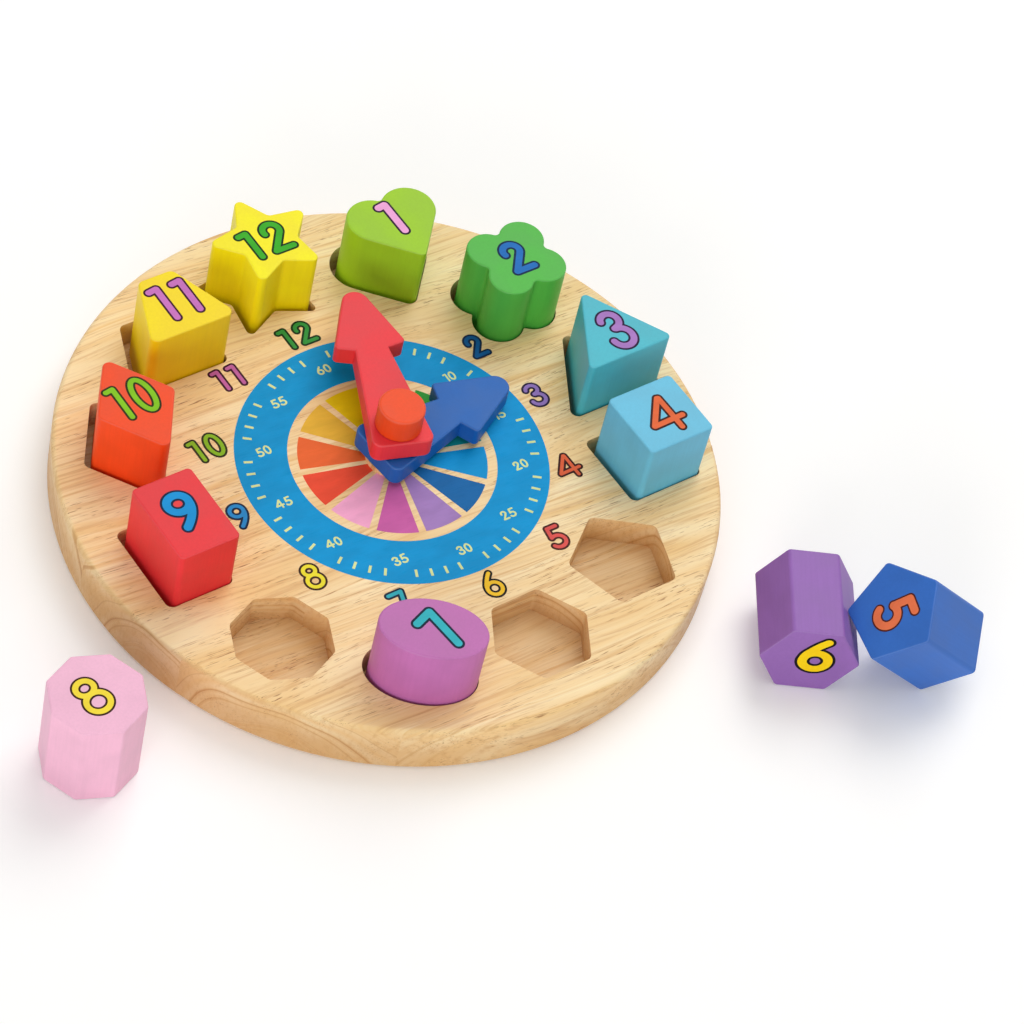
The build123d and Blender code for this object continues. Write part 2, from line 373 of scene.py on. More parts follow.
    def _bands(self, tree: Tree, ring: Node, *, count: float, span: Point, most: float) -> Node:
        """Uneven growth bands.

        Args:
            tree: the nodes' tree.
            ring: distance from the pith in growth bands.
            count: bands of this kind for each growth band.
            span: levels of the pattern between which a band goes from nothing to full.
            most: share of the band's tone where it is full.

        Returns:
            The node that gives the share of the band's tone.
        """
        noise = {"W": ring, "Scale": count, "Detail": 4.0, "Roughness": 0.62}
        uneven = add_node(tree, "TexNoise", noise, noise_dimensions="1D")
        levels = {"Value": uneven, "From Min": span[0], "From Max": span[1], "To Max": most}
        return add_node(tree, "MapRange", levels, interpolation_type="SMOOTHSTEP")


@dataclass(frozen=True)
class SatinPaint:
    """Sprayed satin enamel on a sanded wooden piece.

    Strong even colour with a faint orange-peel skin, a touch paler on the rounded
    rims, where white stands for a thin sprayed coat and a painted highlight, and the
    faintest trace of the wood below.

    Attributes:
        axis: direction of the piece's length, which the wood's fibres follow.
        thin_coat: share of white on the rims, for a thin coat and a painted highlight.
        cloud, peel, fibre: width of a cloud, an orange-peel dimple and a fibre.
        drawn: how much of a fibre's length is squeezed out, 1 for an endless fibre.
    """

    name: str
    colour: str
    axis: Triple = (0.0, 0.0, 1.0)
    roughness: float = 0.40
    thin_coat: float = 0.04
    cloud: float = 17.0
    peel: float = 0.9
    fibre: float = 1.2
    drawn: float = 0.95
    gloss: float = 0.25

    def material(self) -> bpy.types.Material:
        """Build the material.

        Returns:
            The material, under the finish's own name.
        """
        made, tree = blank_material(self.name)
        coords = millimetres(tree)
        drawn_out = self._drawn_out(tree, coords)
        cloud_size = (self.cloud,) * 3
        clouds = mottle(tree, coords, cloud_size, detail=2.0, span=(0.3, 0.7))
        dimples = mottle(
            tree, coords, (self.peel,) * 3, detail=2.0, span=(0.35, 0.75), share=(0.0, 0.10)
        )
        fibres = mottle(
            tree, drawn_out, (self.fibre,) * 3, detail=3.0, span=(0.35, 0.7), share=(0.0, 0.16)
        )
        layers = (
            (clouds, shade(self.colour, 1.05)),
            (dimples, shade(self.colour, 0.82)),
            (fibres, shade(self.colour, 0.80)),
            # White on the rims: a thin coat and a painted highlight.
            (self._rim(tree), (1.0, 1.0, 1.0, 1.0)),
        )
        colour = lay_tones(tree, shade(self.colour, 0.95), layers)

        height = add_node(tree, "Math", {0: dimples, 1: 1.0, 2: fibres}, operation="MULTIPLY_ADD")
        bump = add_node(tree, "Bump", {"Strength": 0.3, "Distance": 0.12 * MM, "Height": height})
        rough = (self.roughness, self.roughness + 0.08)
        sheen = mottle(tree, coords, cloud_size, detail=2.0, span=(0.3, 0.7), share=rough)
        skin = {"Base Color": colour, "Roughness": sheen, "Normal": bump}
        coat = {"Specular IOR Level": self.gloss, "IOR": 1.5}
        shader = add_node(tree, "BsdfPrincipled", skin | coat)
        add_node(tree, "OutputMaterial", {"Surface": shader})
        return made

    def _drawn_out(self, tree: Tree, coords: Node) -> Node:
        """Coordinates squeezed along the piece's axis, so that a pattern is drawn out along it.

        Args:
            tree: the nodes' tree.
            coords: coordinates in mm.

        Returns:
            The node that gives the squeezed coordinates.
        """
        depth = add_node(tree, "VectorMath", {0: coords, 1: self.axis}, operation="DOT_PRODUCT")
        back = add_node(tree, "Math", {0: depth, 1: -self.drawn}, operation="MULTIPLY")
        return add_node(
            tree, "VectorMath", {0: self.axis, 1: back, 2: coords}, operation="MULTIPLY_ADD"
        )

    def _rim(self, tree: Tree) -> Node:
        """Pale an end's rounded rim with white, most of all half-way round: a thin coat and a painted
        highlight.

        Args:
            tree: the nodes' tree.

        Returns:
            The node that gives the share of white: thin coat and painted highlight.
        """
        upward = facing(tree, self.axis)
        rise = {"Value": upward, "From Min": 0.15, "From Max": 0.55, "To Max": self.thin_coat}
        fall = {"Value": upward, "From Min": 0.80, "From Max": 0.97, "To Min": 1.0, "To Max": 0.0}
        rising, falling = (add_node(tree, "MapRange", levels) for levels in (rise, fall))
        return add_node(tree, "Math", {0: rising, 1: falling}, operation="MULTIPLY")


@dataclass(frozen=True)
class ScreenInk:
    """Screen-printed matt ink: an opaque, slightly uneven skin over the wood's fibres."""

    name: str
    colour: str
    roughness: float = 0.5
    cloud: Triple = (14.0, 6.0, 14.0)
    fibre: Triple = (6.0, 0.6, 6.0)
    gloss: float = 0.1

    def material(self) -> bpy.types.Material:
        """Build the material.

        Returns:
            The material, under the finish's own name.
        """
        made, tree = blank_material(self.name)
        coords = millimetres(tree, 3.0)
        clouds = mottle(tree, coords, self.cloud, detail=3.0, span=(0.3, 0.7))
        fibres = mottle(tree, coords, self.fibre, detail=2.0, span=(0.5, 0.8), share=(0.0, 0.2))
        layers = ((clouds, shade(self.colour, 1.06)), (fibres, shade(self.colour, 0.78)))
        colour = lay_tones(tree, shade(self.colour, 0.94), layers)
        bump = add_node(tree, "Bump", {"Strength": 0.5, "Distance": 0.06 * MM, "Height": fibres})
        sheen = add_node(tree, "Math", {0: fibres, 1: self.roughness}, operation="ADD")
        skin = {"Base Color": colour, "Roughness": sheen, "Normal": bump}
        coat = {"Specular IOR Level": self.gloss, "IOR": 1.5}
        shader = add_node(tree, "BsdfPrincipled", skin | coat)
        add_node(tree, "OutputMaterial", {"Surface": shader})
        return made


def seen_directly(tree: Tree) -> Node:
    """Tell a surface that is looked at from one that lights others.

    Args:
        tree: the nodes' tree.

    Returns:
        The node that gives 1 where the camera, a reflection or a clear piece shows it.
    """
    rays = add_node(tree, "LightPath").outputs
    direct = {0: rays["Is Camera Ray"], 1: rays["Is Glossy Ray"]}
    seen = add_node(tree, "Math", direct, operation="MAXIMUM")
    return add_node(tree, "Math", {0: seen, 1: rays["Is Transmission Ray"]}, operation="MAXIMUM")


@dataclass(frozen=True)
class PaperFloor:
    """White paper sweep that stays white where it is lit and keeps soft shadows.

    It glows by its lift where it is seen, so that the lit part is full white.  It is
    clear from below and to rays shorter than its contact gap, so that the board's
    underside can be seen and is lit.
    """

    name: str = "white_paper_sweep"
    colour: str = "#FBFAF8"
    lift: float = 0.11
    contact: float = 1.0

    def material(self) -> bpy.types.Material:
        """Build the material.

        Returns:
            The material, under the finish's own name.
        """
        made, tree = blank_material(self.name)
        paper = add_node(tree, "BsdfDiffuse", {"Color": linear(self.colour)})
        seen = seen_directly(tree)
        lifted = add_node(tree, "Math", {0: seen, 1: self.lift}, operation="MULTIPLY")
        glow = add_node(tree, "Emission", {"Color": (1.0, 1.0, 1.0, 1.0), "Strength": lifted})
        lit = add_node(tree, "AddShader", {0: paper, 1: glow})
        side = add_node(tree, "NewGeometry")
        reach = add_node(tree, "LightPath").outputs["Ray Length"]
        near = add_node(tree, "Math", {0: reach, 1: self.contact * MM}, operation="LESS_THAN")
        open_part = add_node(tree, "Math", {0: side.outputs["Backfacing"], 1: near}, operation="MAXIMUM")
        clear = add_node(tree, "BsdfTransparent")
        both = add_node(tree, "MixShader", {0: open_part, 1: lit, 2: clear})
        add_node(tree, "OutputMaterial", {"Surface": both})
        return made


Finish = Rubberwood | SatinPaint


def dress(node: bpy.types.Object, finish: Finish) -> None:
    """Give a CAD node its finish.

    Args:
        node: the CAD node's object.
        finish: the wood or paint that covers it.
    """
    node.data.materials.clear()
    node.data.materials.append(finish.material())
    LOG.info("%s: %s", node.name, finish.name)


def into_scene(name: str, data: bpy.types.ID) -> bpy.types.Object:
    """Make an object and put it in the scene.

    Args:
        name: the object's name.
        data: its mesh, curve, lamp or camera.

    Returns:
        The object.
    """
    made = bpy.data.objects.new(name, data)
    bpy.context.scene.collection.objects.link(made)
    return made


# --- ink films
def straight(*points: Point) -> Loop:
    """A pen run through corner points."""
    return np.array(points, float)


def smooth(*points: Point) -> Loop:
    """A pen run that curves through its points.

    Args:
        *points: places on the run in mm.

    Returns:
        Points along a Catmull-Rom curve.
    """
    knots = np.array([points[0], *points, points[-1]], float)
    t = np.linspace(0.0, 1.0, 9)[:, None]
    spans = []
    for a, b, c, d in zip(knots, knots[1:], knots[2:], knots[3:]):
        square = (2 * a - 5 * b + 4 * c - d) * t**2
        cube = (3 * b - a - 3 * c + d) * t**3
        spans.append(0.5 * (2 * b + (c - a) * t + square + cube))
    return np.vstack(spans)


def bow(centre: Point, radii: Point, first: float = 0.0, last: float = 360.0) -> Loop:
    """A pen run along part of an ellipse.

    Args:
        centre: middle of the ellipse in mm.
        radii: half its width and half its height in mm.
        first: angle where the pen starts, in degrees from +x.
        last: angle where it stops.

    Returns:
        Points along the run.
    """
    count = max(8, int(abs(last - first) / 6))  # a point every 6 degrees
    turn = np.radians(np.linspace(first, last, count))
    return np.column_stack(
        [centre[0] + radii[0] * np.cos(turn), centre[1] + radii[1] * np.sin(turn)]
    )


# Round-ended digits as pen runs in mm, about 11 mm tall on the centre of the pen.
DIGITS: dict[str, list[Loop]] = {
    "0": [bow((0.0, 0.0), (3.1, 5.5))],
    "1": [straight((-2.75, 4.8), (0.0, 5.1), (0.0, -5.4))],
    "2": [
        bow((-0.5, 3.0), (2.75, 2.7), 195.0, -35.0),
        straight((1.75, 1.45), (-3.5, -5.2), (2.9, -5.2)),
    ],
    "3": [
        bow((-0.7, 3.3), (2.75, 2.4), 165.0, -60.0),
        straight((0.68, 1.2), (-0.9, 0.75), (-0.5, 0.6)),
        bow((-0.6, -2.3), (3.27, 2.9), 90.0, -173.0),
    ],
    "4": [straight((3.4, -1.75), (-5.2, -1.9), (0.6, 5.7), (0.95, 5.6), (1.1, -5.0))],
    "5": [
        straight((2.9, 5.45), (-1.55, 5.5), (-2.2, 1.0)),
        bow((-0.5, -2.2), (3.5, 3.1), 122.0, -150.0),
    ],
    "6": [
        bow((-1.2, -2.0), (3.3, 3.2)),
        smooth((0.6, 5.8), (-1.15, 4.1), (-2.95, 1.85), (-4.1, 0.0), (-4.5, -2.0)),
    ],
    "7": [straight((-2.9, 5.3), (3.0, 5.3), (-0.3, -5.3))],
    "8": [bow((0.15, 3.35), (2.5, 2.35)), bow((-0.2, -2.1), (3.2, 3.1))],
    "9": [
        bow((0.0, 2.6), (2.95, 2.9)),
        smooth((2.95, 2.6), (2.7, 0.5), (1.7, -1.7), (0.1, -3.8), (-1.65, -5.5)),
    ],
}


@dataclass(frozen=True)
class Numeral:
    """One printed number: where it stands, how large and how bold it is.

    Attributes:
        size: width and height with the edge; a width of 0 keeps the digits' proportions.
        turn: turn in degrees, anticlockwise.
        pen: half the width of the inside's line.
        edge: width of the dark edge.
        gap: space between the pen runs of two digits, before they are scaled.
    """

    number: int
    centre: Point
    size: Point
    turn: float = 0.0
    pen: float = 0.85
    edge: float = 0.95
    gap: float = 5.3

    def runs(self) -> list[Loop]:
        """Pen runs in mm on the surface that carries the number.

        Returns:
            The runs, scaled so that ink and edge fill the number's size.
        """
        placed: list[Loop] = []
        for digit in str(self.number):
            left = min(run[:, 0].min() for run in DIGITS[digit])
            start = max(run[:, 0].max() for run in placed) + self.gap if placed else 0.0
            placed += [run + np.array([start - left, 0.0]) for run in DIGITS[digit]]
        everything = np.vstack(placed)
        low, high = everything.min(0), everything.max(0)
        scale = (np.array(self.size) - 2 * (self.pen + self.edge)) / (high - low)
        scale[0] = scale[0] if self.size[0] else scale[1]
        turn = math.radians(self.turn)
        turned = np.array([[math.cos(turn), math.sin(turn)], [-math.sin(turn), math.cos(turn)]])
        scaled = [(run - (low + high) / 2) * scale for run in placed]
        return [run @ turned + np.array(self.centre) for run in scaled]


@dataclass(frozen=True)
class PenOutline:
    """Outline of everything within a distance of some pen runs.

    Attributes:
        pitch: side of the cells in which the outline is traced.
        spacing: distance between two points of the finished outline.
    """

    runs: Sequence[Loop]
    reach: float
    pitch: float = 0.16
    spacing: float = 0.22

    def loops(self) -> list[Loop]:
        """Trace the outline.

        Returns:
            Closed loops of evenly spaced points in mm, holes included.
        """
        everything = np.vstack(self.runs)
        margin = self.reach + 3 * self.pitch
        low = everything.min(0) - margin
        counts = np.ceil((everything.max(0) + margin - low) / self.pitch).astype(int) + 1
        xs = low[0] + self.pitch * np.arange(counts[0])
        ys = low[1] + self.pitch * np.arange(counts[1])
        grid = np.stack(np.meshgrid(xs, ys, indexing="ij"), -1).reshape(-1, 2)
        gap = self._distance(grid).reshape(counts) - self.reach
        return [self._even(loop) for loop in self._trace(gap, low)]

    def _distance(self, grid: np.ndarray) -> np.ndarray:
        """Distance from each grid point to the nearest pen run.

        Args:
            grid: points in mm.

        Returns:
            One distance for each point.
        """
        nearest = np.full(len(grid), np.inf)
        for run in self.runs:
            for start, end in zip(run, run[1:]):
                along = end - start
                share = ((grid - start) @ along) / max(along @ along, 1e-12)
                foot = start + np.clip(share, 0.0, 1.0)[:, None] * along
                nearest = np.minimum(nearest, np.linalg.norm(grid - foot, axis=1))
        return nearest

    def _trace(self, gap: np.ndarray, low: np.ndarray) -> list[list[Point]]:
        """Walk the zero line of the gap through the grid's cells.

        Args:
            gap: distance beyond the reach, at each grid point.
            low: corner of the grid in mm.

        Returns:
            Closed loops of crossing points.
        """
        inside = gap < 0
        following: dict[tuple[int, int, int], tuple[int, int, int]] = {}
        mixed = inside[:-1, :-1].astype(int) + inside[1:, :-1] + inside[1:, 1:] + inside[:-1, 1:]
        for i, j in np.argwhere((mixed > 0) & (mixed < 4)):
            # Side k of the cell runs from corner k to the next corner.
            corners = ((i, j), (i + 1, j), (i + 1, j + 1), (i, j + 1))
            sides = ((i, j, 0), (i + 1, j, 1), (i, j + 1, 0), (i, j, 1))
            state = [bool(inside[c]) for c in corners]
            leaving = [k for k in range(4) if state[k] and not state[(k + 1) % 4]]
            entering = [k for k in range(4) if not state[k] and state[(k + 1) % 4]]
            for k in leaving:
                into = min(entering, key=lambda e: (k - e) % 4)
                following[sides[k]] = sides[into]
        loops = []
        while following:
            first, step = following.popitem()
            ring = [first]
            while step != first:
                ring.append(step)
                step = following.pop(step)
            loops.append([self._crossing(gap, low, side) for side in ring])
        return loops

    def _crossing(self, gap: np.ndarray, low: np.ndarray, side: tuple[int, int, int]) -> Point:
        """Place on one side of a cell where the gap is zero.

        Args:
            gap: distance beyond the reach, at each grid point.
            low: corner of the grid in mm.
            side: grid point and 0 for the side along x, 1 for the side along y.

        Returns:
            The place in mm.
        """
        i, j, way = side
        other = (i + 1, j) if way == 0 else (i, j + 1)
        share = gap[i, j] / (gap[i, j] - gap[other])
        step = (share, 0.0) if way == 0 else (0.0, share)
        return (low[0] + self.pitch * (i + step[0]), low[1] + self.pitch * (j + step[1]))

    def _even(self, loop: list[Point]) -> Loop:
        """Lay out the loop's points again at even spacing.

        Args:
            loop: closed loop of points.

        Returns:
            The same line with evenly spaced points.
        """
        points = np.array([*loop, loop[0]])
        run = np.concatenate([[0.0], np.cumsum(np.linalg.norm(np.diff(points, axis=0), axis=1))])
        count = max(8, round(run[-1] / self.spacing))
        places = np.arange(count) * run[-1] / count
        return np.column_stack([np.interp(places, run, points[:, k]) for k in (0, 1)])


def circle(radius: float, count: int = 240) -> Loop:
    """Evenly spaced points on a circle about the origin."""
    turn = np.arange(count) * 2 * math.pi / count
    return radius * np.column_stack([np.cos(turn), np.sin(turn)])


@dataclass
class InkFilm:
    """A closed film of ink, built up from layers, that becomes one mesh."""

    name: str
    inks: list[ScreenInk] = field(default_factory=list)
    corners: list[Vector] = field(default_factory=list)
    faces: list[tuple[int, ...]] = field(default_factory=list)
    face_inks: list[int] = field(default_factory=list)

    def layer(self, loops: Iterable[Loop], ink: ScreenInk, heights: Point) -> None:
        """Add a flat-topped layer.

        Args:
            loops: outline and holes in mm.
            ink: the layer's ink.
            heights: heights of its underside and its top in mm.
        """
        low, high = heights
        outline = bpy.data.curves.new(f"{self.name}_outline", "CURVE")
        outline.dimensions = "2D"
        outline.fill_mode = "BOTH"
        outline.extrude = (high - low) / 2 * MM
        for loop in loops:
            spline = outline.splines.new("POLY")
            spline.points.add(len(loop) - 1)
            for point, (x, y) in zip(spline.points, loop):
                point.co = (x * MM, y * MM, 0.0, 1.0)
            spline.use_cyclic_u = True
        self._take(outline, ink, (low + high) / 2)

    def _take(self, curve: bpy.types.Curve, ink: ScreenInk, height: float) -> None:
        """Turn a filled curve into closed faces of this film.

        Args:
            curve: flat filled curve.
            ink: the layer's ink.
            height: height of its middle in mm.
        """
        holder = into_scene(curve.name, curve)
        bpy.context.view_layer.update()
        graph = bpy.context.evaluated_depsgraph_get()
        mesh = bpy.data.meshes.new_from_object(holder.evaluated_get(graph))
        solid = bmesh.new()
        solid.from_mesh(mesh)
        bmesh.ops.remove_doubles(solid, verts=solid.verts, dist=WELD * MM)
        bmesh.ops.recalc_face_normals(solid, faces=solid.faces)
        solid.verts.index_update()
        if ink not in self.inks:
            self.inks.append(ink)
        base = len(self.corners)
        shift = Vector((0.0, 0.0, height * MM))
        self.corners.extend(vertex.co + shift for vertex in solid.verts)
        for face in solid.faces:
            self.faces.append(tuple(base + vertex.index for vertex in face.verts))
            self.face_inks.append(self.inks.index(ink))
        solid.free()
        bpy.data.meshes.remove(mesh)
        bpy.data.objects.remove(holder)
        bpy.data.curves.remove(curve)

    def piece(self, body: str, place: Matrix) -> None:
        """Make the object and let it ride on its body.

        Args:
            body: CAD body that carries the film.
            place: matrix from the film's own plane to the frame.
        """
        mesh = bpy.data.meshes.new(self.name)
        mesh.from_pydata([place @ corner for corner in self.corners], [], self.faces)
        for ink in self.inks:
            mesh.materials.append(ink.material())
        mesh.polygons.foreach_set("material_index", self.face_inks)
        mesh.update()
        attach(into_scene(self.name, mesh), body)
        LOG.info("%s: %d faces on %s", self.name, len(self.faces), body)


# --- the studio
@dataclass(frozen=True)
class SoftBox:
    """Square soft box that faces the object: its place and side in metres, and its power."""

    name: str
    at: Triple
    side: float
    watts: float

    def hang(self) -> None:
        """Put the lamp in the scene."""
        data = bpy.data.lights.new(self.name, "AREA")
        data.size = self.side
        data.energy = self.watts
        lamp = into_scene(self.name, data)
        lamp.location = self.at
        lamp.rotation_mode = "QUATERNION"
        lamp.rotation_quaternion = (-Vector(self.at)).to_track_quat("-Z", "Y")


@dataclass(frozen=True)
class Studio:
    """Camera, lamps, white surroundings and floor, in metres but for the floor's gap."""

    camera_at: Triple = (-0.70117, -0.75776, 1.21627)
    camera_right: Triple = (0.813909, -0.556108, 0.168213)
    camera_up: Triple = (0.346415, 0.696939, 0.627911)
    camera_back: Triple = (-0.466421, -0.452791, 0.759890)
    lens: float = 131.36
    surroundings: float = 0.40
    floor_half: float = 4.0
    floor_gap: float = 0.2
    lamps: tuple[SoftBox, ...] = (
        SoftBox("back_soft_box", (2.10, 1.20, 3.20), 2.8, 77.0),
        SoftBox("overhead_soft_box", (-0.20, -0.10, 4.20), 2.8, 27.0),
        SoftBox("front_soft_box", (-3.10, -2.60, 1.00), 2.2, 68.0),
    )

    def build(self) -> None:
        """Set the whole studio."""
        self._camera()
        self._surround()
        self._floor()
        for lamp in self.lamps:
            lamp.hang()
        bpy.context.scene.view_settings.view_transform = "Standard"
        LOG.info("studio set")

    def _camera(self) -> None:
        """Place the camera."""
        data = bpy.data.cameras.new("view_camera")
        data.lens = self.lens
        data.sensor_width = 36.0
        data.clip_start, data.clip_end = 0.05, 50.0
        camera = into_scene("view_camera", data)
        axes = Matrix((self.camera_right, self.camera_up, self.camera_back)).transposed()
        camera.matrix_world = Matrix.Translation(self.camera_at) @ axes.to_4x4()
        bpy.context.scene.camera = camera

    def _surround(self) -> None:
        """White surroundings: full white where they are seen, a softer level as light."""
        world = bpy.data.worlds.new("white_surroundings")
        world.use_nodes = True
        tree = world.node_tree
        tree.nodes.clear()
        levels = {"Value": seen_directly(tree), "To Min": self.surroundings, "To Max": 1.0}
        level = add_node(tree, "MapRange", levels)
        sky = add_node(tree, "Background", {"Color": (1.0, 1.0, 1.0, 1.0), "Strength": level})
        add_node(tree, "OutputWorld", {"Surface": sky})
        bpy.context.scene.world = world

    def _floor(self) -> None:
        """Lay the floor just under the board."""
        half = self.floor_half
        mesh = bpy.data.meshes.new("paper_sweep")
        corners = [(-half, -half, 0.0), (half, -half, 0.0), (half, half, 0.0), (-half, half, 0.0)]
        mesh.from_pydata(corners, [], [(0, 1, 2, 3)])
        mesh.materials.append(PaperFloor().material())
        sweep = into_scene("paper_sweep", mesh)
        sweep.location.z = -self.floor_gap * MM


# --- the clock
@dataclass(frozen=True)
class GluedBoard:
    """Round board glued from five staves, each sawn from another part of the log."""

    # Shift of the grain, place of the pith and share of amber.
    staves: tuple[tuple[Point, Point, float], ...] = (
        ((310.0, 40.0), (-150.0, 265.0), 0.55),
        ((-120.0, 95.0), (10.0, -215.0), 0.45),
        ((520.0, -60.0), (-95.0, 580.0), 0.60),
        ((-430.0, 150.0), (210.0, -585.0), 0.40),
        ((210.0, -230.0), (-130.0, 450.0), 0.45),
    )

    def build(self, nodes: Nodes) -> None:
        """Dress the staves.

        Args:
            nodes: the CAD nodes by name.
        """
        for number, (start, pith, warmth) in enumerate(self.staves, start=1):
            wood = Rubberwood(f"rubberwood_stave_{number}", start, pith, warmth)
            dress(nodes[f"board_stave_{number}"], wood)


class ByHour(Enum):
    """Things that belong to an hour, with a hex colour and, where they have one, an edge's."""

    def __init__(self, hour: int, colour: str, edge: str = "") -> None:
        """Keep a member's values under their names.

        Args:
            hour: the hour, 1 to 12.
            colour: sRGB hex colour.
            edge: sRGB hex colour of its edge; empty where it has none.
        """
        self.hour = hour
        self.colour = colour
        self.edge = edge

    @classmethod
    def at(cls, hour: int) -> Self:
        """The member of an hour."""
        return next(member for member in cls if member.hour == hour)


class SectorInk(ByHour):
    """Inks of the twelve sectors round the centre."""

    LEAF = (1, "#8CC63F")
    GREEN = (2, "#2E9A35")
    TEAL = (3, "#109A9E")
    SKY = (4, "#0A96D4")
    NAVY = (5, "#1667A6")
    VIOLET = (6, "#A682C0")
    MAGENTA = (7, "#CE65AA")
    PINK = (8, "#F8ADD1")
    RED = (9, "#EE5034")
    ORANGE = (10, "#F06C34")
    GOLD = (11, "#E8B63A")
    YELLOW = (12, "#ECCA08")


@dataclass(frozen=True)
class PrintedDial:
    """Minute ring, minute marks, minute numbers and coloured sectors on the board.

    The print's centre is shifted from the board's.  Pairs are inner and outer radii,
    and gap_at is the gap between two sectors at theirs.
    """

    top: float = 25.0
    shift: Point = (0.6, -0.6)
    ring: Point = (44.8, 67.3)
    mark_span: Point = (59.9, 63.7)
    mark_width: float = 1.15
    number_radius: float = 54.8
    number_height: float = 4.9
    number_pen: float = 0.42
    number_gap: float = 3.5
    sector_span: Point = (9.0, 40.6)
    gap_at: Point = (1.9, 3.2)
    blue: str = "#0A97D4"
    pale: str = "#DDE9A0"

    def place(self) -> Matrix:
        """Matrix from the dial's own plane to the frame."""
        return Matrix.Translation(Vector((*self.shift, self.top)) * MM)

    def build(self) -> None:
        """Lay the ring, its marks and numbers, and the sectors."""
        self._minute_ring()
        self._minute_marks()
        self._minute_numbers()
        for sector in SectorInk:
            self._sector(sector)

    def _print(self, name: str, loops: Sequence[Loop], ink: ScreenInk, heights: Point) -> None:
        """Lay one film of one ink on the board.

        Args:
            name: the piece's name.
            loops: closed outlines in mm on the dial.
            ink: its ink.
            heights: heights of its underside and its top in mm.
        """
        film = InkFilm(name)
        film.layer(loops, ink, heights)
        film.piece("board", self.place())

    def _minute_ring(self) -> None:
        """The blue ring."""
        edges = [circle(radius) for radius in self.ring]
        self._print("dial_minute_ring", edges, ScreenInk("ink_ring_blue", self.blue), LOWER_FILM)

    def _minute_marks(self) -> None:
        """A short bar for each minute that has no number."""
        bars = []
        for minute in (m for m in range(60) if m % 5):
            turn = math.radians(6 * minute)
            out = np.array([math.sin(turn), math.cos(turn)])
            side = np.array([out[1], -out[0]]) * self.mark_width / 2
            near, far = (out * radius for radius in self.mark_span)
            bars.append(np.array([near - side, near + side, far + side, far - side]))
        self._print("dial_minute_marks", bars, ScreenInk("ink_pale_marks", self.pale), UPPER_FILM)

    def _minute_numbers(self) -> None:
        """5 to 60, all upright."""
        pitch, spacing = 0.07, 0.12
        loops: list[Loop] = []
        for minutes in range(5, 61, 5):
            turn = math.radians(6 * minutes)
            at = (self.number_radius * math.sin(turn), self.number_radius * math.cos(turn))
            size = (0.0, self.number_height)
            number = Numeral(minutes, at, size, pen=self.number_pen, edge=0.0, gap=self.number_gap)
            loops += PenOutline(number.runs(), self.number_pen, pitch, spacing).loops()
        self._print("dial_minute_numbers", loops, ScreenInk("ink_pale_numbers", self.pale), UPPER_FILM)

    def _sector(self, sector: SectorInk) -> None:
        """One coloured sector, narrower than its twelfth by half a gap on each side.

        Args:
            sector: its hour and ink.
        """
        near, far = self.sector_span
        half = [math.pi / 12 - math.asin(gap / 2 / r) for gap, r in zip(self.gap_at, (near, far))]
        middle = math.radians(30 * sector.hour)
        outer = middle + half[1] * np.linspace(-1.0, 1.0, 41)
        inner = middle + half[0] * np.linspace(1.0, -1.0, 11)
        loop = [(far * math.sin(a), far * math.cos(a)) for a in outer]
        loop += [(near * math.sin(a), near * math.cos(a)) for a in inner]
        ink = ScreenInk(f"ink_sector_{sector.name.lower()}", sector.colour)
        self._print(f"dial_sector_{sector.hour:02d}", [np.array(loop)], ink, LOWER_FILM)


class HourInk(ByHour):
    """Inside and edge inks of the numerals on the blocks."""

    PINK = (1, "#F2A9DA", "#2B1A2E")
    BLUE = (2, "#2671BE", "#0E2A4A")
    LILAC = (3, "#AC7CC4", "#27183A")
    CORAL = (4, "#E86C3E", "#3A1712")
    SALMON = (5, "#E8764C", "#4A1F18")
    GOLD = (6, "#FFD20A", "#0C0808")
    AQUA = (7, "#38B6C2", "#10263A")
    LEMON = (8, "#FBE040", "#3A2210")
    AZURE = (9, "#1A93D6", "#0C2340")
    LIME = (10, "#86C622", "#2E2E0C")
    MAUVE = (11, "#CC76C0", "#3F1528")
    GREEN = (12, "#3FAF2B", "#123012")


class BoardInk(ByHour):
    """Inside inks of the smaller numerals on the bare board, which share the blocks' edges."""

    PINK = (1, "#F2A9DA")
    BLUE = (2, "#145C9C")
    LILAC = (3, "#9474BC")
    CORAL = (4, "#E4623C")
    SALMON = (5, "#E05650")
    GOLD = (6, "#F6C42A")
    AQUA = (7, "#35B0BC")
    LEMON = (8, "#EEE034")
    AZURE = (9, "#288CCE")
    LIME = (10, "#8ABD22")
    MAUVE = (11, "#C466A8")
    GREEN = (12, "#349640")


def numeral_film(name: str, numeral: Numeral, label: str, colour: str, edge: str) -> InkFilm:
    """A numeral as a dark film with a narrower coloured film on it.

    Args:
        name: the piece's name.
        numeral: its place, size and pen.
        label: name of its inks.
        colour: hex colour of the inside.
        edge: hex colour of the edge.

    Returns:
        The film, still to be placed.
    """
    runs = numeral.runs()
    dark = PenOutline(runs, numeral.pen + numeral.edge)
    bright = PenOutline(runs, numeral.pen)
    made = InkFilm(name)
    made.layer(dark.loops(), ScreenInk(f"{label}_edge", edge), LOWER_FILM)
    made.layer(bright.loops(), ScreenInk(label, colour), UPPER_FILM)
    return made


